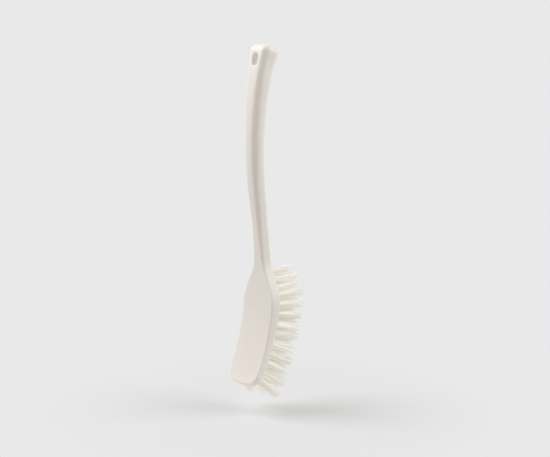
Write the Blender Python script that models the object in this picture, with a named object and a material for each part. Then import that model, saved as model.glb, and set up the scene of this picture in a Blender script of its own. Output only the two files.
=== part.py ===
"""Long-handled cleaning brush, built the way the real one is made.

The grip, neck, shoulders and head are one moulding. The bristle side of the head is drilled with
blind holes, and each hole holds one tuft: a bundle of filaments folded over a flat anchor, whose
two ends bite into the wall of the hole. Nothing on the brush moves.

The brush hangs as it is stored: +Z runs up the handle, +Y is the way the bristles point and X runs
across the head. The origin is the middle of the hanging slot. Lengths are in metres.
"""

import math
import random

import bmesh
import bpy
from mathutils import Matrix, Vector

MM = 0.001
QUARTER_TURN = math.pi / 2
CLEARANCE = 0.3 * MM
OVERRUN = 2 * MM

# Centre line of the moulding, in stretches of even bend from the hanging end down to the toe.
# A positive bend turns towards the bristles.
END_LEAN = math.radians(-18.5)
END_LENGTH = 31 * MM
END_BEND = math.radians(7.4)
GRIP_LENGTH = 145 * MM
GRIP_BEND = math.radians(18.9)
NECK_LENGTH = 70 * MM
NECK_BEND = math.radians(-4.7)
SHOULDER_LENGTH = 50 * MM
SHOULDER_BEND = math.radians(-8.7)
HEAD_LENGTH = 96 * MM
HEAD_BEND = math.radians(-23)

STRETCHES = (
    (END_LENGTH, END_BEND),
    (GRIP_LENGTH, GRIP_BEND),
    (NECK_LENGTH, NECK_BEND),
    (SHOULDER_LENGTH, SHOULDER_BEND),
    (HEAD_LENGTH, HEAD_BEND),
)
NECK_START = END_LENGTH + GRIP_LENGTH
SHOULDER_START = NECK_START + NECK_LENGTH
HEAD_START = SHOULDER_START + SHOULDER_LENGTH
TOE = HEAD_START + HEAD_LENGTH

# Sections of the moulding: rounded rectangles across the centre line.
END_WIDTH = 35.5 * MM
FLARE_LENGTH = 26 * MM
GRIP_WIDTH = 28.2 * MM
GRIP_FOOT_WIDTH = 18.7 * MM
WAIST_WIDTH = 16 * MM
NECK_FOOT_WIDTH = 18.5 * MM
HEAD_WIDTH = 55.6 * MM
TOE_WIDTH = 54.5 * MM
WIDTHS = (
    (0, END_WIDTH),
    (FLARE_LENGTH, GRIP_WIDTH),
    (NECK_START, GRIP_FOOT_WIDTH),
    ((NECK_START + SHOULDER_START) / 2, WAIST_WIDTH),
    (SHOULDER_START, NECK_FOOT_WIDTH),
    (HEAD_START, HEAD_WIDTH),
    (TOE, TOE_WIDTH),
)

END_DEPTH = 23.4 * MM
GRIP_DEPTH = 21.4 * MM
GRIP_FOOT_DEPTH = 16.5 * MM
NECK_FOOT_DEPTH = 14 * MM
HEAD_DEPTH = 12.3 * MM
TOE_DEPTH = 8.5 * MM
DEPTHS = (
    (0, END_DEPTH),
    (FLARE_LENGTH, GRIP_DEPTH),
    (NECK_START, GRIP_FOOT_DEPTH),
    (SHOULDER_START, NECK_FOOT_DEPTH),
    (HEAD_START, HEAD_DEPTH),
    (TOE, TOE_DEPTH),
)

GRIP_CORNER = 7.5 * MM
GRIP_FOOT_CORNER = 6.2 * MM
NECK_FOOT_CORNER = 3.6 * MM
HEAD_CORNER = 2 * MM
CORNERS = (
    (0, GRIP_CORNER),
    (NECK_START, GRIP_FOOT_CORNER),
    (SHOULDER_START, NECK_FOOT_CORNER),
    (HEAD_START, HEAD_CORNER),
    (TOE, HEAD_CORNER),
)
CORNER_LIMIT_SHARE = 0.45
CORNER_STEPS = 5

# Rounding of the hanging end across its width and its depth, and of the toe in plan and at its rim.
END_CORNER = 9.2 * MM
END_ROUNDING = 8.5 * MM
END_CORNER_SHARE = 0.6
END_STEPS = 6
TOE_CORNER = 13 * MM
TOE_RIM = 2 * MM
TOE_STEPS = 10
BODY_STEPS = 60

# Hanging slot, cut through the grip from back to bristle side, with rounded lips.
SLOT_PLACE = 18.8 * MM
SLOT_WIDTH = 9 * MM
SLOT_LENGTH = 13.6 * MM
SLOT_LIP = 2 * MM
SLOT_STEPS = 8
LIP_STEPS = 3

# Field of tufts: staggered rows along the head, counted from the toe.
ROW_PITCH = 10 * MM
HEEL_MARGIN = 17 * MM
TOE_MARGIN = 9 * MM
CENTRE_ROW = 2
ROW_COUNTS = (10, 11, 12, 11, 10)
FIELD_START = SHOULDER_START + HEEL_MARGIN
FIELD_END = TOE - TOE_MARGIN
TUFT_PITCH = (FIELD_END - FIELD_START) / (ROW_COUNTS[CENTRE_ROW] - 1)
HEEL_LEAN = math.radians(-5)
TOE_LEAN = math.radians(14)
ROW_LEAN = math.radians(1.5)

# One tuft: its round root in the drilled hole, the flat anchor across the foot of the root,
# and the filaments, gathered into strands that spread a little towards the trimmed tips.
HOLE_RADIUS = 2.6 * MM
HOLE_DEPTH = 6 * MM
HOLE_STEPS = 5
ROOT_STEPS = 3
ANCHOR_THICKNESS = 0.5 * MM
ANCHOR_HEIGHT = 1.6 * MM
ANCHOR_BITE = 0.6 * MM
STRAND_RADIUS = 0.65 * MM
RING_STRANDS = 7
RING_RADIUS = 1.45 * MM
TIP_RING_RADIUS = 3.4 * MM
BRISTLE_LENGTH = 37 * MM
END_TUFT_LENGTH = 34.5 * MM
TIP_SCATTER = 0.4 * MM
TRIM_SCATTER = 0.8 * MM
TUFT_SEED = 5

SHARP_EDGE = math.radians(35)
PLASTIC_COLOUR = (0.78, 0.75, 0.70)
PLASTIC_ROUGHNESS = 0.35
BRISTLE_COLOUR = (0.80, 0.76, 0.66)
BRISTLE_ROUGHNESS = 0.45


def clear_scene():
    for item in list(bpy.data.objects):
        bpy.data.objects.remove(item, do_unlink=True)


def make_material(name, colour, roughness):
    """Return a plain plastic material."""
    material = bpy.data.materials.new(name)
    material.use_nodes = True
    shader = material.node_tree.nodes["Principled BSDF"]
    shader.inputs["Base Color"].default_value = (*colour, 1)
    shader.inputs["Roughness"].default_value = roughness
    shader.inputs["Metallic"].default_value = 0
    return material


def add_object(name, bm, material=None):
    """Turn a bmesh into an object with outward faces, and free the bmesh."""
    bmesh.ops.recalc_face_normals(bm, faces=bm.faces)
    mesh = bpy.data.meshes.new(name)
    bm.to_mesh(mesh)
    bm.free()
    item = bpy.data.objects.new(name, mesh)
    bpy.context.scene.collection.objects.link(item)
    if material:
        mesh.materials.append(material)
    return item


def cut(target, cutter):
    """Take the cutter out of the target with a Boolean modifier, and hide the cutter."""
    cutter.hide_render = True
    cutter.display_type = "WIRE"
    modifier = target.modifiers.new(cutter.name, "BOOLEAN")
    modifier.operation = "DIFFERENCE"
    modifier.solver = "EXACT"
    modifier.object = cutter


def centre_line(place):
    """Return the point, the direction towards the toe and the direction of the bristles."""
    point = Vector((0, 0, 0))
    angle = END_LEAN
    left = place
    for number, (length, bend) in enumerate(STRETCHES):
        last = number == len(STRETCHES) - 1
        travel = left if last else min(left, length)
        half_turn = bend * travel / length / 2
        chord = travel * (math.sin(half_turn) / half_turn if half_turn else 1)
        heading = angle + half_turn
        point += chord * Vector((0, math.sin(heading), -math.cos(heading)))
        angle += 2 * half_turn
        left -= travel
        if left <= 0:
            break
    along = Vector((0, math.sin(angle), -math.cos(angle)))
    out = Vector((0, math.cos(angle), math.sin(angle)))
    return point, along, out


ORIGIN = centre_line(SLOT_PLACE)[0]


def read_curve(keys, place):
    """Read a smooth curve that runs through (place, size) keys and never overshoots them."""
    slopes = [(b[1] - a[1]) / (b[0] - a[0]) for a, b in zip(keys, keys[1:])]
    tangents = [slopes[0]]
    for before, after in zip(slopes, slopes[1:]):
        level = before * after <= 0
        tangents.append(0 if level else 2 * before * after / (before + after))
    tangents.append(slopes[-1])
    index = 0
    while index < len(slopes) - 1 and place > keys[index + 1][0]:
        index += 1
    (start, size), (stop, next_size) = keys[index], keys[index + 1]
    span = stop - start
    t = (place - start) / span
    return (
        size * (1 + 2 * t) * (1 - t) ** 2
        + next_size * t ** 2 * (3 - 2 * t)
        + span * tangents[index] * t * (1 - t) ** 2
        - span * tangents[index + 1] * t ** 2 * (1 - t)
    )


def rounding(radius, distance):
    """Return how far a quarter round stands back, at a distance from the end it rounds."""
    gap = max(radius - distance, 0)
    return radius - math.sqrt(max(radius ** 2 - gap ** 2, 0))


def section_size(place):
    """Return the width, depth and corner radius of the moulding at a place on its centre line."""
    width = read_curve(WIDTHS, place)
    depth = read_curve(DEPTHS, place)
    corner = read_curve(CORNERS, place)
    end = rounding(END_ROUNDING, place)
    rim = rounding(TOE_RIM, TOE - place)
    width -= 2 * (rounding(END_CORNER, place) + rounding(TOE_CORNER, TOE - place))
    depth -= 2 * (end + rim)
    corner -= END_CORNER_SHARE * end + rim / 2
    return width, depth, min(corner, CORNER_LIMIT_SHARE * depth)


def section_outline(width, depth, corner):
    """Return a rounded rectangle as (across, out) pairs, anticlockwise from the +X side."""
    outline = []
    for quarter, (side, face) in enumerate(((1, 1), (-1, 1), (-1, -1), (1, -1))):
        for step in range(CORNER_STEPS + 1):
            angle = QUARTER_TURN * (quarter + step / CORNER_STEPS)
            across = side * (width / 2 - corner) + corner * math.cos(angle)
            out = face * (depth / 2 - corner) + corner * math.sin(angle)
            outline.append((across, out))
    return outline


def loft_places():
    """Return the places of the sections, closer together where the two ends are rounded."""
    places = []
    for step in range(END_STEPS):
        places.append(END_CORNER * (1 - math.cos(QUARTER_TURN * step / END_STEPS)))
    body = TOE - END_CORNER - TOE_CORNER
    for step in range(BODY_STEPS):
        places.append(END_CORNER + body * step / BODY_STEPS)
    for step in range(TOE_STEPS + 1):
        places.append(TOE - TOE_CORNER * (1 - math.sin(QUARTER_TURN * step / TOE_STEPS)))
    return places


def bridge(bm, lower, upper):
    """Join two loops of as many vertices with a band of quads."""
    count = len(lower)
    for i in range(count):
        j = (i + 1) % count
        bm.faces.new((lower[i], lower[j], upper[j], upper[i]))


def make_moulding(material):
    """Loft the handle and head in one piece through the sections on the centre line."""
    bm = bmesh.new()
    rings = []
    for place in loft_places():
        point, _, out = centre_line(place)
        ring = []
        for across, height in section_outline(*section_size(place)):
            ring.append(bm.verts.new(point - ORIGIN + Vector((across, 0, 0)) + out * height))
        rings.append(ring)
    for upper, lower in zip(rings, rings[1:]):
        bridge(bm, lower, upper)
    bm.faces.new(rings[0])
    bm.faces.new(list(reversed(rings[-1])))
    moulding = add_object("handle_and_head", bm, material)
    moulding.data.shade_smooth()
    moulding.data.set_sharp_from_angle(angle=SHARP_EDGE)
    return moulding


def slot_outline(grow):
    """Return the slot's outline as (across, along) pairs: a straight run with two round ends."""
    radius = SLOT_WIDTH / 2 + grow
    run = (SLOT_LENGTH - SLOT_WIDTH) / 2
    outline = []
    for end in (1, -1):
        for step in range(SLOT_STEPS + 1):
            angle = math.pi * step / SLOT_STEPS
            outline.append((end * radius * math.cos(angle), end * (run + radius * math.sin(angle))))
    return outline


def make_slot_cutter():
    """Make the slot's cutter, whose two ends flare along the lips' quarter rounds."""
    point, along, out = centre_line(SLOT_PLACE)
    half_depth = section_size(SLOT_PLACE)[1] / 2
    levels = [(half_depth + OVERRUN, SLOT_LIP)]
    for step in range(LIP_STEPS + 1):
        angle = QUARTER_TURN * step / LIP_STEPS
        sink = SLOT_LIP * (1 - math.cos(angle))
        levels.append((half_depth - sink, SLOT_LIP * (1 - math.sin(angle))))
    levels += [(-height, grow) for height, grow in reversed(levels)]
    bm = bmesh.new()
    rings = []
    for height, grow in levels:
        ring = []
        for across, down in slot_outline(grow):
            place = point - ORIGIN + Vector((across, 0, 0)) + along * down + out * height
            ring.append(bm.verts.new(place))
        rings.append(ring)
    for upper, lower in zip(rings, rings[1:]):
        bridge(bm, lower, upper)
    bm.faces.new(rings[0])
    bm.faces.new(rings[-1])
    return add_object("hanging_slot_cutter", bm)


def tuft_places():
    """Yield each tuft's name, placement and length. Its local +Z runs out along the bristles."""
    for row, count in enumerate(ROW_COUNTS):
        from_centre = row - CENTRE_ROW
        stagger = from_centre % 2 / 2
        for number in range(count):
            place = FIELD_END - TUFT_PITCH * (number + stagger)
            share = (place - FIELD_START) / (FIELD_END - FIELD_START)
            lean = HEEL_LEAN + (TOE_LEAN - HEEL_LEAN) * share ** 2
            point, along, out = centre_line(place)
            seat = point - ORIGIN + out * section_size(place)[1] / 2
            seat.x = from_centre * ROW_PITCH
            upright = out * math.cos(lean) + along * math.sin(lean)
            side_lean = from_centre * ROW_LEAN
            axis = upright * math.cos(side_lean) + Vector((math.sin(side_lean), 0, 0))
            across = (Vector((1, 0, 0)) - axis * axis.x).normalized()
            turn = Matrix((across, axis.cross(across), axis)).transposed()
            placement = Matrix.Translation(seat) @ turn.to_4x4()
            length = BRISTLE_LENGTH - (BRISTLE_LENGTH - END_TUFT_LENGTH) * (2 * share - 1) ** 2
            yield f"tuft_row_{row + 1}_{number + 1:02d}", placement, length


def add_root(bm, radius, half_key, key_reach, key_height, depth, steps):
    """Add a round root with a flat key across its foot, open at the top; return its top loop.

    The root's top is at zero and its foot at -depth. Both sides of the root have a narrow flat,
    as wide as the key, through which the key's two ends stand out along X.
    """
    flat = math.asin(half_key / radius)
    half_turn = [flat + (math.pi - 2 * flat) * step / steps for step in range(steps + 1)]
    angles = half_turn + [math.pi + angle for angle in half_turn]
    ring = [Vector((radius * math.cos(angle), radius * math.sin(angle), 0)) for angle in angles]
    top = [bm.verts.new(point) for point in ring]
    foot = [bm.verts.new(point - Vector((0, 0, depth))) for point in ring]
    lift = Vector((0, 0, key_height))
    key_corners = (0, steps, steps + 1, 2 * steps + 1)
    ledge = {i: bm.verts.new(foot[i].co + lift) for i in key_corners}
    tip = {}
    for i in key_corners:
        end = foot[i].co.copy()
        end.x = math.copysign(key_reach, end.x)
        tip[i] = (bm.verts.new(end), bm.verts.new(end + lift))
    sole = []
    for i in range(len(ring)):
        j = (i + 1) % len(ring)
        sole.append(foot[i])
        if i in (steps, 2 * steps + 1):
            sole += [tip[i][0], tip[j][0]]
            bm.faces.new((ledge[i], ledge[j], top[j], top[i]))
            bm.faces.new((ledge[i], tip[i][1], tip[j][1], ledge[j]))
            bm.faces.new((tip[i][0], tip[j][0], tip[j][1], tip[i][1]))
            bm.faces.new((foot[i], tip[i][0], tip[i][1], ledge[i]))
            bm.faces.new((tip[j][0], foot[j], ledge[j], tip[j][1]))
            continue
        wall = [foot[i], foot[j], ledge.get(j), top[j], top[i], ledge.get(i)]
        bm.faces.new([corner for corner in wall if corner])
    bm.faces.new(sole)
    return top


def make_hole_cutter():
    """Make one cutter for all the blind holes, with a slit for each end of every anchor."""
    bm = bmesh.new()
    for _, placement, _ in tuft_places():
        first = len(bm.verts)
        top = add_root(
            bm,
            HOLE_RADIUS,
            ANCHOR_THICKNESS / 2 + CLEARANCE,
            HOLE_RADIUS + ANCHOR_BITE + CLEARANCE,
            ANCHOR_HEIGHT + 2 * CLEARANCE,
            HOLE_DEPTH,
            HOLE_STEPS,
        )
        for vertex in top:
            vertex.co.z = OVERRUN
        bm.faces.new(top)
        bm.verts.ensure_lookup_table()
        bmesh.ops.transform(bm, matrix=placement, verts=bm.verts[first:])
    return add_object("tuft_hole_cutter", bm)


def strand_roots():
    """Return the centre of each strand on the root's top, one in the middle and a ring around."""
    centres = [Vector((0, 0, 0))]
    for number in range(RING_STRANDS):
        angle = 2 * math.pi * number / RING_STRANDS
        centres.append(RING_RADIUS * Vector((math.cos(angle), math.sin(angle), 0)))
    return centres


def make_tuft(name, placement, length, scatter, material):
    """Make one tuft and seat it: strands fused to a root that carries its anchor."""
    bm = bmesh.new()
    rim = add_root(
        bm,
        HOLE_RADIUS - CLEARANCE,
        ANCHOR_THICKNESS / 2,
        HOLE_RADIUS + ANCHOR_BITE,
        ANCHOR_HEIGHT,
        HOLE_DEPTH - CLEARANCE,
        ROOT_STEPS,
    )
    loops = [rim]
    spread = TIP_RING_RADIUS / RING_RADIUS
    for centre in strand_roots():
        facing = math.atan2(centre.y, centre.x) + math.pi
        nudge = Vector((scatter.uniform(-1, 1), scatter.uniform(-1, 1), 0)) * TIP_SCATTER
        rise = Vector((0, 0, length + scatter.uniform(-1, 1) * TRIM_SCATTER))
        foot = []
        tip = []
        for corner in range(3):
            angle = facing + 2 * math.pi * corner / 3
            offset = STRAND_RADIUS * Vector((math.cos(angle), math.sin(angle), 0))
            foot.append(bm.verts.new(centre + offset))
            tip.append(bm.verts.new(centre * spread + offset + nudge + rise))
        bridge(bm, foot, tip)
        bm.faces.new(tip)
        loops.append(foot)
    edges = []
    for loop in loops:
        edges += [bm.edges.get((a, b)) for a, b in zip(loop, loop[1:] + loop[:1])]
    bmesh.ops.triangle_fill(bm, use_beauty=True, use_dissolve=False, edges=edges)
    tuft = add_object(name, bm, material)
    tuft.location = placement.to_translation()
    tuft.rotation_euler = placement.to_euler()


clear_scene()
plastic = make_material("handle_plastic", PLASTIC_COLOUR, PLASTIC_ROUGHNESS)
bristle = make_material("bristle", BRISTLE_COLOUR, BRISTLE_ROUGHNESS)
handle = make_moulding(plastic)
cut(handle, make_slot_cutter())
cut(handle, make_hole_cutter())
scatter = random.Random(TUFT_SEED)
for tuft_name, seat, reach in tuft_places():
    make_tuft(tuft_name, seat, reach, scatter, bristle)
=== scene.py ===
"""Long-handled cleaning brush: its surfaces, finishes, light and camera.

The brush hangs as it is stored. +Z runs up the handle, +Y is the way the bristles point, X runs
across the head, and the origin is the middle of the hanging slot. Lengths are in metres.
"""

import math

import bpy
import numpy as np
from mathutils import Matrix, Vector


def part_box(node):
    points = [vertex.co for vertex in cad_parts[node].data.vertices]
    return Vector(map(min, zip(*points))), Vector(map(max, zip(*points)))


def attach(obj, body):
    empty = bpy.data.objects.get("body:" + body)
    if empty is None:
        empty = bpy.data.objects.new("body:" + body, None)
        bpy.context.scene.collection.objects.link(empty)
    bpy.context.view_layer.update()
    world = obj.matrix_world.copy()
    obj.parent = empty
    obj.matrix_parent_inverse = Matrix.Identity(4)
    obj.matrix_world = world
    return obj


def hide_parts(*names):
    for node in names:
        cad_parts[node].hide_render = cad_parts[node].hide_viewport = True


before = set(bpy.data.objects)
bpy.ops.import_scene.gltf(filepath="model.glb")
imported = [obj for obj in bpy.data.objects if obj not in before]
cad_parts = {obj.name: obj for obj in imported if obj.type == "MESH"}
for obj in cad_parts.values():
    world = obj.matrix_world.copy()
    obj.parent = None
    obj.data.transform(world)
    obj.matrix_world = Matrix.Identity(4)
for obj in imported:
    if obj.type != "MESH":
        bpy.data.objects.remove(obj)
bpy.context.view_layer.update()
mm = 0.001

# The moulding: grip, neck, shoulders and head are one piece of white polypropylene, injected
# into a two-part mould. Rounded rectangular sections follow a centre line of five even bends,
# from the hanging end to the toe, and a lipped slot is moulded through the hanging end.
stretch_lengths = np.array((31, 145, 70, 50, 96)) * mm
stretch_bends = np.radians((7.4, 18.9, -4.7, -8.7, -23))
end_lean = math.radians(-18.5)
grip_end, neck_end, shoulder_end, toe = np.cumsum(stretch_lengths)[1:]
flare_end, grip_middle = 26 * mm, 90 * mm
waist = (grip_end + neck_end) / 2

width_places = np.array((0, flare_end, grip_end, waist, neck_end, shoulder_end, toe))
width_sizes = np.array((35.5, 28.2, 18.7, 16, 18.5, 55.6, 54.5)) * mm
depth_places = np.array((0, flare_end, grip_end, neck_end, shoulder_end, toe))
depth_sizes = np.array((23.4, 21.4, 16.5, 14, 12.3, 8.5)) * mm
corner_places = np.array((0, grip_middle, grip_end, neck_end, shoulder_end, toe))
corner_sizes = np.array((7.5, 8.7, 6.2, 3.6, 2, 2)) * mm

end_corner = 9.2 * mm
end_rounding = 8.5 * mm
end_corner_share = 0.6
toe_corner = 13 * mm
toe_rim = 2 * mm
toe_bow = 2 * mm
end_sections, body_sections, toe_sections = 14, 210, 30
corner_points, face_points, side_points = 12, 18, 6

slot_place = 18.8 * mm
slot_width, slot_length, slot_lip = 9 * mm, 13.6 * mm, 2 * mm
# Distances from the origin over which the painted light on the slot's wall fades out.
slot_painted_light_start, slot_painted_light_end = 7 * mm, 12 * mm
slot_points, lip_levels = 24, 8
overrun = 2 * mm


def centre_line(place):
    """Follow the bends: each stretch is a circular arc, so its chord is travel times sinc of half
    its turn, heading along the mean angle. Returns points, headings to the toe and bristle sides.
    """
    place = np.asarray(place, float)
    start = 0
    angle = np.full(place.shape, end_lean)
    point = np.zeros(place.shape + (3,))
    for length, bend in zip(stretch_lengths, stretch_bends):
        furthest = np.inf if start + length >= toe else length
        travel = np.clip(place - start, 0, furthest)
        half_turn = bend * travel / length / 2
        chord = travel * np.sinc(half_turn / np.pi)
        heading = angle + half_turn
        point += chord[..., None] * np.stack((0 * heading, np.sin(heading), -np.cos(heading)), -1)
        angle = angle + 2 * half_turn
        start += length
    along = np.stack((0 * angle, np.sin(angle), -np.cos(angle)), -1)
    out = np.stack((0 * angle, np.cos(angle), np.sin(angle)), -1)
    return point, along, out


slot_centre, slot_along, slot_out = centre_line(slot_place)


def smooth_curve(place, places, sizes):
    """Read a curve through the given sizes: Hermite cubics whose slope at each inner size is the
    harmonic mean of the slopes beside it, or zero at a turn, so the curve never overshoots.
    """
    slopes = np.diff(sizes) / np.diff(places)
    before, after = slopes[:-1], slopes[1:]
    rising = before * after > 0
    inner = np.where(rising, 2 * before * after / np.where(rising, before + after, 1), 0)
    tangents = np.concatenate((slopes[:1], inner, slopes[-1:]))
    index = np.clip(np.searchsorted(places, place, side="left") - 1, 0, len(slopes) - 1)
    span = places[index + 1] - places[index]
    t = (place - places[index]) / span
    return (
        sizes[index] * (1 + 2 * t) * (1 - t) ** 2
        + sizes[index + 1] * t ** 2 * (3 - 2 * t)
        + span * tangents[index] * t * (1 - t) ** 2
        - span * tangents[index + 1] * t ** 2 * (1 - t)
    )


def quarter_round(radius, distance):
    """Setback of a quarter circle at a distance from the end it rounds: r - sqrt(r^2 - gap^2)."""
    gap = np.clip(radius - distance, 0, radius)
    return radius - np.sqrt(radius ** 2 - gap ** 2)


def section_size(place):
    """Width, depth and corner radius at places on the centre line, with both ends rounded off."""
    end = quarter_round(end_rounding, place)
    rim = quarter_round(toe_rim, toe - place)
    edge = quarter_round(end_corner, place) + quarter_round(toe_corner, toe - place)
    width = smooth_curve(place, width_places, width_sizes)
    depth = smooth_curve(place, depth_places, depth_sizes)
    corner = smooth_curve(place, corner_places, corner_sizes)
    return width - 2 * edge, depth - 2 * (end + rim), corner - end_corner_share * end - rim / 2


def section_walk():
    """Walk once round a section. Each step gives the corner circle's centre as shares of its
    travel, -1 to 1 across and out, and the angle on the circle. The centre waits while the angle
    turns through a corner, and slides while the walk crosses a flat.
    """
    turn = np.linspace(0, math.pi / 2, corner_points)
    across, out, angle = [], [], []
    corners = ((1, 1), (-1, 1), (-1, -1), (1, -1))
    for quarter, (side, face) in enumerate(corners):
        next_side, next_face = corners[(quarter + 1) % 4]
        steps = face_points if side != next_side else side_points
        slide = np.arange(1, steps) / steps
        across.append(np.concatenate((np.full(corner_points, side), side + (next_side - side) * slide)))
        out.append(np.concatenate((np.full(corner_points, face), face + (next_face - face) * slide)))
        angle.append(quarter * math.pi / 2 + np.concatenate((turn, np.full(steps - 1, math.pi / 2))))
    return np.concatenate(across), np.concatenate(out), np.concatenate(angle)


def moulding_grid():
    """Loft the section along the centre line: point + X times across + out times height, with
    across and height on a rounded rectangle. Sections crowd together at the rounded ends, and the
    toe bows out by (1 - u^2)^2 at a share u of its half width, eased in over its corners.
    """
    quarter = np.linspace(0, math.pi / 2, end_sections, endpoint=False)
    toe_quarter = np.linspace(0, math.pi / 2, toe_sections)
    body = np.linspace(end_corner, toe - toe_corner, body_sections, endpoint=False)
    places = np.concatenate((
        end_corner * (1 - np.cos(quarter)),
        body,
        toe - toe_corner * (1 - np.sin(toe_quarter)),
    ))
    width, depth, corner = (size[:, None] for size in section_size(places))
    walk_across, walk_out, angle = section_walk()
    across = walk_across * (width / 2 - corner) + corner * np.cos(angle)
    height = walk_out * (depth / 2 - corner) + corner * np.sin(angle)
    point, along, out = centre_line(places)
    grid = (point - slot_centre)[:, None] + out[:, None] * height[..., None]
    grid[..., 0] += across
    ease = np.clip(1 - (toe - places[:, None]) / toe_corner, 0, 1)
    share = np.clip(2 * across / width_sizes[-1], -1, 1)
    bow = toe_bow * ease ** 2 * (3 - 2 * ease) * (1 - share ** 2) ** 2
    return (grid + along[:, None] * bow[..., None])[None]


def tube_mesh(name, *groups):
    """Mesh of closed tubes. A group is an array of (tube, ring, point, 3), whose rings turn to the
    right as they advance, and flat faces fill each tube's first and last ring.
    """
    verts, faces = [], []
    first = 0
    for group in groups:
        tubes, rings, points = group.shape[:3]
        starts = first + np.arange(tubes)[:, None, None] * rings * points
        here = np.arange(points)
        after = (here + 1) % points
        corners = np.stack((here, here + points, after + points, after), -1)
        walls = np.arange(rings - 1)[:, None, None] * points + corners
        ends = np.stack((here, rings * points - 1 - here))
        verts.append(group.reshape(-1, 3))
        faces += (starts + walls.reshape(-1, 4)).reshape(-1, 4).tolist()
        faces += (starts + ends).reshape(-1, points).tolist()
        first += tubes * rings * points
    mesh = bpy.data.meshes.new(name)
    mesh.from_pydata(np.concatenate(verts).tolist(), [], faces)
    return mesh


def slot_cutter_grid():
    """Stadium rings through the handle. The slot's half width grows towards each mouth by
    lip * (1 - sin a) at a depth of lip * (1 - cos a), which rounds both lips.
    """
    half_depth = section_size(np.array([slot_place]))[1][0] / 2
    turn = np.linspace(0, math.pi / 2, lip_levels)
    height = half_depth - slot_lip * (1 - np.cos(turn))
    grow = slot_lip * (1 - np.sin(turn))
    height = np.concatenate(([half_depth + overrun], height))
    grow = np.concatenate(([slot_lip], grow))
    height = np.concatenate((height, -height[::-1]))
    grow = np.concatenate((grow, grow[::-1]))
    turn = np.linspace(0, math.pi, slot_points)
    turn = np.concatenate((turn, math.pi + turn))
    run = np.where(np.arange(2 * slot_points) < slot_points, 1, -1) * (slot_length - slot_width) / 2
    radius = slot_width / 2 + grow[:, None]
    grid = slot_along * (run + radius * np.sin(turn))[..., None]
    grid = grid + slot_out * height[:, None, None]
    grid[..., 0] += radius * np.cos(turn)
    return grid[None]


def cut_mesh(mesh, cutter_mesh):
    """The mesh that is left when a closed shape is taken out of another."""
    piece, cutter = (bpy.data.objects.new(part.name, part) for part in (mesh, cutter_mesh))
    for part in (piece, cutter):
        bpy.context.scene.collection.objects.link(part)
    modifier = piece.modifiers.new("cut", "BOOLEAN")
    modifier.solver = "EXACT"
    modifier.object = cutter
    bpy.context.view_layer.update()
    view = piece.evaluated_get(bpy.context.evaluated_depsgraph_get())
    left = bpy.data.meshes.new_from_object(view)
    for part in (piece, cutter):
        bpy.data.objects.remove(part)
    return left


class Value:
    """A socket in a material's node tree. Python's operators on it add Math nodes."""

    def __init__(self, tree, socket):
        self.tree = tree
        self.socket = socket

    def _math(self, operation, first, second):
        return self.tree.node("ShaderNodeMath", {"operation": operation}, (first, second))

    def __add__(self, other):
        return self._math("ADD", self, other)

    def __radd__(self, other):
        return self._math("ADD", other, self)

    def __rsub__(self, other):
        return self._math("SUBTRACT", other, self)

    def __mul__(self, other):
        return self._math("MULTIPLY", self, other)

    def __rmul__(self, other):
        return self._math("MULTIPLY", other, self)

    def __pow__(self, other):
        return self._math("POWER", self, other)


class Nodes:
    """Adds nodes and links to one node tree."""

    def __init__(self, tree):
        self.tree = tree

    def node(self, kind, settings, inputs, output=0):
        """Add a node: its settings first, then each input, from a value or a link."""
        made = self.tree.nodes.new(kind)
        for key, setting in settings.items():
            setattr(made, key, setting)
        named = inputs.items() if isinstance(inputs, dict) else enumerate(inputs)
        for key, given in named:
            self.feed(made.inputs[key], given)
        return Value(self, made.outputs[output])

    def feed(self, socket, given):
        """Link a value to a socket, or set the socket to plain numbers."""
        if isinstance(given, Value):
            self.tree.links.new(given.socket, socket)
        else:
            socket.default_value = given

    def mix(self, share, first, second):
        """Mix two colours by a share. A colour in plain numbers gets its alpha here."""
        settings = {"data_type": "RGBA", "clamp_factor": True}
        first, second = (
            colour if isinstance(colour, Value) else (*colour, 1)
            for colour in (first, second)
        )
        return self.node("ShaderNodeMix", settings, {0: share, 6: first, 7: second}, 2)


class Finish(Nodes):
    """A material under construction, with its Principled shader."""

    def __init__(self, name):
        self.material = bpy.data.materials.new(name)
        self.material.use_nodes = True
        super().__init__(self.material.node_tree)
        self.shader = self.tree.nodes["Principled BSDF"]

    def shade(self, **sockets):
        """Set the shader's sockets, whose names have spaces where the keywords have underscores."""
        for name, given in sockets.items():
            self.feed(self.shader.inputs[name.replace("_", " ")], given)

    def place(self):
        """Where a point of the piece lies, from the origin."""
        return self.node("ShaderNodeTexCoord", {}, (), "Object")

    def noise(self, scale, detail):
        """Noise over the piece from 0 to 1, at a scale in features per metre."""
        inputs = {"Vector": self.place(), "Scale": scale, "Detail": detail, "Roughness": 0.5}
        return self.node("ShaderNodeTexNoise", {}, inputs, "Fac")

    def near(self, start, end):
        """One about the origin, and smoothly down to zero from one distance to another."""
        distance = self.node("ShaderNodeVectorMath", {"operation": "LENGTH"}, (self.place(),), "Value")
        inputs = {"Value": distance, "From Min": start, "From Max": end, "To Min": 1.0, "To Max": 0.0}
        return self.node("ShaderNodeMapRange", {"interpolation_type": "SMOOTHSTEP"}, inputs)

    def bump(self, height, distance, strength):
        """Normals tilted as if the surface rose by a height from 0 to 1, times a distance."""
        inputs = {"Height": height, "Distance": distance, "Strength": strength}
        return self.node("ShaderNodeBump", {}, inputs, "Normal")

    def glow(self, strength):
        """An even white glow."""
        return self.node("ShaderNodeEmission", {}, {"Color": (1, 1, 1, 1), "Strength": strength})

    def blend(self, share, first, second):
        """Blend two shaders by a share."""
        return self.node("ShaderNodeMixShader", {}, (share, first, second))


skin_colours = (0.815, 0.766, 0.704), (0.845, 0.796, 0.734)
# Painted light: the paler colour that the wall inside the slot takes, to lift its shade.
slot_painted_light_colour = (0.98, 0.94, 0.9)
cloud_scale, gloss_scale, grain_scale, ripple_scale = 28, 60, 3200, 95
plastic_roughness, roughness_range = 0.38, 0.08
grain_height, grain_strength, ripple_share = 0.02 * mm, 0.5, 4


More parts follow.
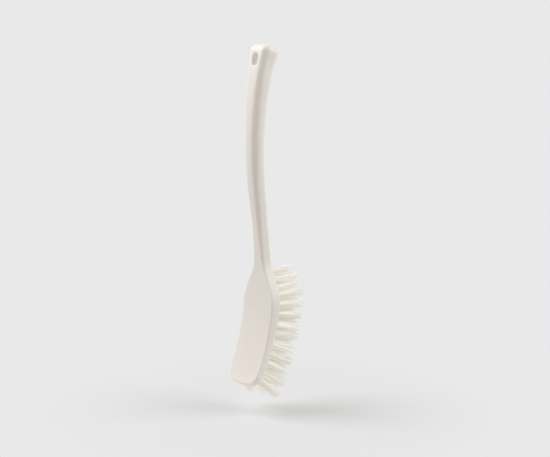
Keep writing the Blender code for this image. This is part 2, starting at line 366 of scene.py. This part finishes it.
def plastic_finish():
    """Satin white polypropylene: faint cloudiness, fine spark-eroded grain and slow flow ripple,
    and painted light: a paler colour on the wall inside the slot, round the origin, that lifts its shade.
    """
    finish = Finish("moulded_plastic")
    cloud = finish.noise(cloud_scale, detail=3)
    skin = finish.mix(cloud, *skin_colours)
    grain = finish.noise(grain_scale, detail=1)
    ripple = finish.noise(ripple_scale, detail=2)
    finish.shade(
        # Painted light: round the origin, the slot's wall takes a paler colour that lifts its shade.
        Base_Color=finish.mix(finish.near(slot_painted_light_start, slot_painted_light_end), skin, slot_painted_light_colour),
        Roughness=plastic_roughness + roughness_range * finish.noise(gloss_scale, detail=4),
        Normal=finish.bump(grain + ripple_share * ripple, grain_height, grain_strength),
        IOR=1.49,
        Subsurface_Weight=0.5,
        Subsurface_Radius=(5 * mm, 4.7 * mm, 4.4 * mm),
        Subsurface_Scale=1,
    )
    return finish.material


# The tufts: each bundle of polyester filaments is folded over a flat wire and driven into a
# blind hole. Five staggered rows fan out from heel to toe, and the tips are trimmed in a bow.
row_pitch = 10 * mm
row_counts = (10, 11, 12, 11, 10)
centre_row = 2
field_start = neck_end + 17 * mm
field_end = toe - 9 * mm
tuft_pitch = (field_end - field_start) / (row_counts[centre_row] - 1)
heel_lean, toe_lean, row_lean = np.radians((-5, 14, 1.5))
hole_radius, hole_depth, hole_points = 2.6 * mm, 6 * mm, 20
bristle_length, end_tuft_length = 37 * mm, 34.5 * mm


def tuft_places():
    """Name, seat, direction and length of each tuft. The lean grows with the square of the way
    from heel to toe, and the length falls off with the square of the way from the middle.
    """
    for row, count in enumerate(row_counts):
        from_centre = row - centre_row
        for number in range(count):
            place = field_end - tuft_pitch * (number + from_centre % 2 / 2)
            share = (place - field_start) / (field_end - field_start)
            point, along, out = centre_line(place)
            seat = point - slot_centre + out * section_size(np.array([place]))[1][0] / 2
            seat[0] = from_centre * row_pitch
            lean = heel_lean + (toe_lean - heel_lean) * share ** 2
            upright = out * math.cos(lean) + along * math.sin(lean)
            side_lean = from_centre * row_lean
            axis = upright * math.cos(side_lean) + np.array((math.sin(side_lean), 0, 0))
            length = bristle_length - (bristle_length - end_tuft_length) * (2 * share - 1) ** 2
            yield f"tuft_row_{row + 1}_{number + 1:02d}", seat, axis, length


def tuft_sides(axis):
    """Two directions square to a tuft's axis, the first of them across the head."""
    across = np.array((1, 0, 0)) - axis * axis[0]
    across /= np.linalg.norm(across)
    return across, np.cross(axis, across)


def hole_grids():
    """Straight round holes, each two rings of a circle square to its tuft's axis."""
    angle = np.linspace(0, 2 * math.pi, hole_points, endpoint=False)[:, None]
    holes = []
    for _, seat, axis, _ in tuft_places():
        across, beside = tuft_sides(axis)
        circle = hole_radius * (across * np.cos(angle) + beside * np.sin(angle))
        holes.append((seat + axis * overrun + circle, seat - axis * hole_depth + circle))
    return np.array(holes)


def add_piece(name, mesh, material, node, sharp_angle):
    """Turn a mesh into a piece of the brush, sharp at edges past an angle in degrees."""
    mesh.materials.clear()
    mesh.materials.append(material)
    mesh.shade_smooth()
    mesh.set_sharp_from_angle(angle=math.radians(sharp_angle))
    piece = bpy.data.objects.new(name, mesh)
    bpy.context.scene.collection.objects.link(piece)
    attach(piece, "root")
    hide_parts(node)


moulding = cut_mesh(tube_mesh("moulding", moulding_grid()), tube_mesh("slot_cutter", slot_cutter_grid()))
moulding = cut_mesh(moulding, tube_mesh("tuft_hole_cutters", hole_grids()))
add_piece(
    "moulded_handle_and_head", moulding, plastic_finish(),
    node="handle_and_head", sharp_angle=40,
)

filaments = 110
filament_radius = 0.2 * mm
filament_sides, filament_rings = 5, 7
root_radius, tip_radius = 2.4 * mm, 6.3 * mm
splay_power = 0.95
lean_scatter = 0.06
root_sink = 1.5 * mm
clumps, clump_pull, clump_tone_share = 9, 0.6, 0.8
clump_reaches = 0.5, 1
tip_scatter, trim_scatter, filament_bow = 1.1 * mm, 3.1 * mm, 0.9 * mm
heart_sides, heart_rings = 28, 9
heart_share, heart_end_share, heart_flute_share = 0.7, 0.8, 0.14
heart_last_ring = 0.98
stem_colours = (0.61, 0.57, 0.485), (0.93, 0.905, 0.835)
# Painted light: the colour that the filaments turn to towards their tips, for the light their trimmed ends
# scatter.
tip_painted_light_colour, tip_painted_light_power = (0.735, 0.735, 0.725), 3
# Painted light: a weak glow on every filament, though it is no lamp, lifts the shade in the bundle.
painted_glow_colour, painted_glow_strength = (1, 0.98, 0.93, 1), 0.22


def filament_finish():
    """Semi-gloss filament, each one a little lighter or darker than the next, and warm at the root.
    Painted light: for the light that its trimmed end scatters, its colour turns neutral to the tip,
    and a weak glow of its own, though it is no lamp, lifts the shade between the filaments.
    """
    finish = Finish("bristle_filament")
    tone = finish.node("ShaderNodeAttribute", {"attribute_name": "tone"}, (), "Fac")
    way = finish.node("ShaderNodeAttribute", {"attribute_name": "way"}, (), "Fac")
    stem = finish.mix(tone, *stem_colours)
    finish.shade(
        # Painted light: the colour turns neutral towards the tip.
        Base_Color=finish.mix(way ** tip_painted_light_power, stem, tip_painted_light_colour),
        Roughness=0.32,
        IOR=1.5,
        # Painted light: the filament's own weak glow.
        Emission_Color=painted_glow_colour,
        Emission_Strength=painted_glow_strength,
    )
    return finish.material


def splay(t):
    """Radius of the bundle at a share t of its length: straight at the root, wide at the tips."""
    return root_radius + (tip_radius - root_radius) * t ** splay_power


def ring_of(sides):
    """Unit circle as (side, 2), clockwise as seen from its own tip."""
    turn = np.linspace(2 * math.pi, 0, sides, endpoint=False)
    return np.stack((np.cos(turn), np.sin(turn)), -1)


def filament_grid(length, chance):
    """Filaments of one tuft in its own frame, +Z outwards, as (filament, ring, side, 3), and the
    tone of each from 0 to 1, a share of which it has in common with its clump.

    Roots fill a disc on a sunflower spiral. Each tip is on a wider disc, pulled part of the way to
    the nearest of a few clumps, and each filament bows sideways by 4t(1-t) times a small amount.
    A clump's tone is a random number squared, so that few of them are bright.
    """
    index = np.arange(filaments) + 0.5
    angle = index * math.pi * (3 - math.sqrt(5))
    disc = np.sqrt(index / filaments)[:, None] * np.stack((np.cos(angle), np.sin(angle)), -1)
    clump_angle = 2 * math.pi * (np.arange(clumps) + chance.uniform(0, 1)) / clumps
    clump_reach = chance.uniform(*clump_reaches, clumps)[:, None]
    centres = clump_reach * np.stack((np.cos(clump_angle), np.sin(clump_angle)), -1)
    nearest = np.argmin(np.linalg.norm(disc[:, None] - centres, axis=-1), axis=1)
    pulled = disc + clump_pull * (centres[nearest] - disc)
    scatter, sideways = (
        chance.normal(0, 0.5, (filaments, 1, 2)) * size
        for size in (tip_scatter, filament_bow)
    )
    t = np.linspace(0, 1, filament_rings)[:, None]
    way = t ** splay_power
    middle = splay(t) * (disc[:, None] * (1 - way) + pulled[:, None] * way)
    middle = middle + scatter * way + sideways * 4 * t * (1 - t)
    plan = middle[:, :, None] + filament_radius * ring_of(filament_sides)
    reach = length + root_sink - chance.uniform(0, 1, filaments) * trim_scatter
    height = np.broadcast_to((reach[:, None] * t[:, 0] - root_sink)[..., None, None], plan.shape[:3] + (1,))
    clump_tone = chance.uniform(0, 1, clumps)[nearest] ** 2
    own_tone = chance.uniform(0, 1, filaments)
    tone = own_tone + clump_tone_share * (clump_tone - own_tone)
    return np.concatenate((plan, height), -1), tone


def heart_grid(length, chance):
    """The filaments packed inside the bundle, as one fluted body that ends in a blunt point short
    of the tips: its radius is a share of the bundle's, times sqrt(1 - s^6) at a share s of it.
    """
    s = np.linspace(0, heart_last_ring, heart_rings)[:, None, None]
    flute = 1 + heart_flute_share * chance.uniform(-1, 1, heart_sides)[:, None]
    plan = heart_share * splay(s * heart_end_share) * np.sqrt(1 - s ** 6) * flute * ring_of(heart_sides)
    reach = (length + root_sink) * heart_end_share
    height = np.broadcast_to(s * reach - root_sink, plan.shape[:2] + (1,))
    return np.concatenate((plan, height), -1)[None]


def tuft_mesh(name, seat, axis, length, chance):
    """Mesh of a bundle at its seat, leaning a little its own way, with a random tone for each
    filament and flute, and the way along it from 0 at the root to 1 at the tip.
    """
    across, beside = tuft_sides(axis)
    own_lean = chance.uniform(-1, 1, 2) * lean_scatter
    axis = axis + own_lean[0] * across + own_lean[1] * beside
    axis /= np.linalg.norm(axis)
    across, beside = tuft_sides(axis)
    turn = np.stack((across, beside, axis))
    grid, filament_tone = filament_grid(length, chance)
    heart_tone = chance.uniform(0, 1, heart_sides)
    mesh = tube_mesh(name, seat + grid @ turn, seat + heart_grid(length, chance) @ turn)
    tones = (filament_tone.repeat(filament_rings * filament_sides), np.tile(heart_tone, heart_rings))
    ways = (
        np.tile(np.linspace(0, 1, filament_rings).repeat(filament_sides), filaments),
        np.linspace(0, heart_end_share, heart_rings).repeat(heart_sides),
    )
    for key, values in (("tone", tones), ("way", ways)):
        mesh.attributes.new(key, "FLOAT", "POINT").data.foreach_set("value", np.concatenate(values))
    return mesh


filament_material = filament_finish()
chance = np.random.default_rng(19)
for name, seat, axis, length in tuft_places():
    mesh = tuft_mesh(name, seat, axis, length, chance)
    add_piece(f"bristle_{name}", mesh, filament_material, node=name, sharp_angle=80)

# The floor: one pale sheet, a little below the lowest bristles. Its colour is its own glow, so
# that it meets the backdrop without a seam, and near the brush a share of it takes the shadow.
# Right under the brush it glows a little more, which lights the toe from below.
backdrop_grey = 0.814
floor_gap = 17 * mm
floor_level = min(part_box(name)[0].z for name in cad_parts) - floor_gap
floor_reach = 60
floor_glow, foot_glow = 0.585, 0.885
sheet_colour = (0.715, 0.71, 0.712)
shadow_share = 0.68
# Both round areas are given by distances from the origin, which is 0.403 m above the floor.
foot_start, foot_end = 0.4, 0.44
shadow_start, shadow_end = 0.4, 0.5


def backdrop_share(nodes):
    """One for rays that show the backdrop as it looks, from the camera or by way of a reflection
    or a clear body, and zero for those that gather its light.
    """
    share = 1
    for kind in ("Is Camera Ray", "Is Glossy Ray", "Is Transmission Ray"):
        share = share * (1 - nodes.node("ShaderNodeLightPath", {}, (), kind))
    return 1 - share


def floor_mesh():
    """A square whose corners are at plus and minus the floor's reach."""
    mesh = bpy.data.meshes.new("studio_floor")
    corners = ((-1, -1), (1, -1), (1, 1), (-1, 1))
    verts = [(x * floor_reach, y * floor_reach, floor_level) for x, y in corners]
    mesh.from_pydata(verts, [], [(0, 1, 2, 3)])
    return mesh


def floor_finish():
    """The backdrop's grey where it is looked at, mixed with a matt sheet inside a soft round area,
    and another glow where its light is gathered, stronger under the brush.
    """
    finish = Finish("studio_floor")
    near = shadow_share * finish.near(shadow_start, shadow_end)
    under = finish.near(foot_start, foot_end)
    sheet = finish.node("ShaderNodeBsdfDiffuse", {}, {"Color": (*sheet_colour, 1)})
    shown = finish.blend(near, finish.glow(backdrop_grey), sheet)
    gathered = finish.blend(under, finish.glow(floor_glow), finish.glow(foot_glow))
    surface = finish.blend(backdrop_share(finish), gathered, shown)
    finish.feed(finish.tree.nodes["Material Output"].inputs["Surface"], surface)
    return finish.material


floor = bpy.data.objects.new("studio_floor", floor_mesh())
bpy.context.scene.collection.objects.link(floor)
floor.data.materials.append(floor_finish())

# The light: a large square soft box on each side of the brush, a little above it, in a plain pale
# room whose even glow fills the shadows.
subject = Vector((28.9, -4.17, -186.7)) * mm
camera_azimuth, camera_elevation = math.radians(52), math.radians(7.79)
camera_distance = 1.467
room_glow, room_tint = 0.46, (1, 0.945, 0.9)
box_distance, box_size = 1.6, 1.2
soft_boxes = (
    ("left_soft_box", -99, 43, 19.8, (0.935, 0.95, 1)),
    ("right_soft_box", 83, 33, 14.2, (0.91, 0.985, 1)),
)


def aim(azimuth, elevation, distance):
    """Place that looks at the subject from a distance. Azimuth 0 is in front of it, at -Y."""
    turn = Matrix.Rotation(azimuth, 4, "Z") @ Matrix.Rotation(math.pi / 2 - elevation, 4, "X")
    return Matrix.Translation(subject) @ turn @ Matrix.Translation((0, 0, distance))


def room():
    """World light: the backdrop's grey where it is looked at, and an even glow all round."""
    world = bpy.data.worlds.new("studio")
    world.use_nodes = True
    nodes = Nodes(world.node_tree)
    background = world.node_tree.nodes["Background"].inputs
    share = backdrop_share(nodes)
    nodes.feed(background["Color"], nodes.mix(share, room_tint, (1, 1, 1)))
    nodes.feed(background["Strength"], room_glow + (backdrop_grey - room_glow) * share)
    return world


bpy.context.scene.world = room()
for name, azimuth, elevation, power, tint in soft_boxes:
    lamp = bpy.data.lights.new(name, "AREA")
    lamp.shape = "SQUARE"
    lamp.size = box_size
    lamp.energy = power
    lamp.color = tint
    box = bpy.data.objects.new(name, lamp)
    box.matrix_world = aim(camera_azimuth + math.radians(azimuth), math.radians(elevation), box_distance)
    bpy.context.scene.collection.objects.link(box)

# The camera: at the photograph's height and side, as far off as its perspective shows, with a
# portrait lens. The frame's width and the focal length are in millimetres.
frame_width, focal_length = 36, 85.1
lens = bpy.data.cameras.new("camera")
lens.sensor_fit = "HORIZONTAL"
lens.sensor_width = frame_width
lens.lens = focal_length
camera = bpy.data.objects.new("camera", lens)
camera.matrix_world = aim(camera_azimuth, camera_elevation, camera_distance)
bpy.context.scene.collection.objects.link(camera)
bpy.context.scene.camera = camera
bpy.context.scene.view_settings.view_transform = "Standard"
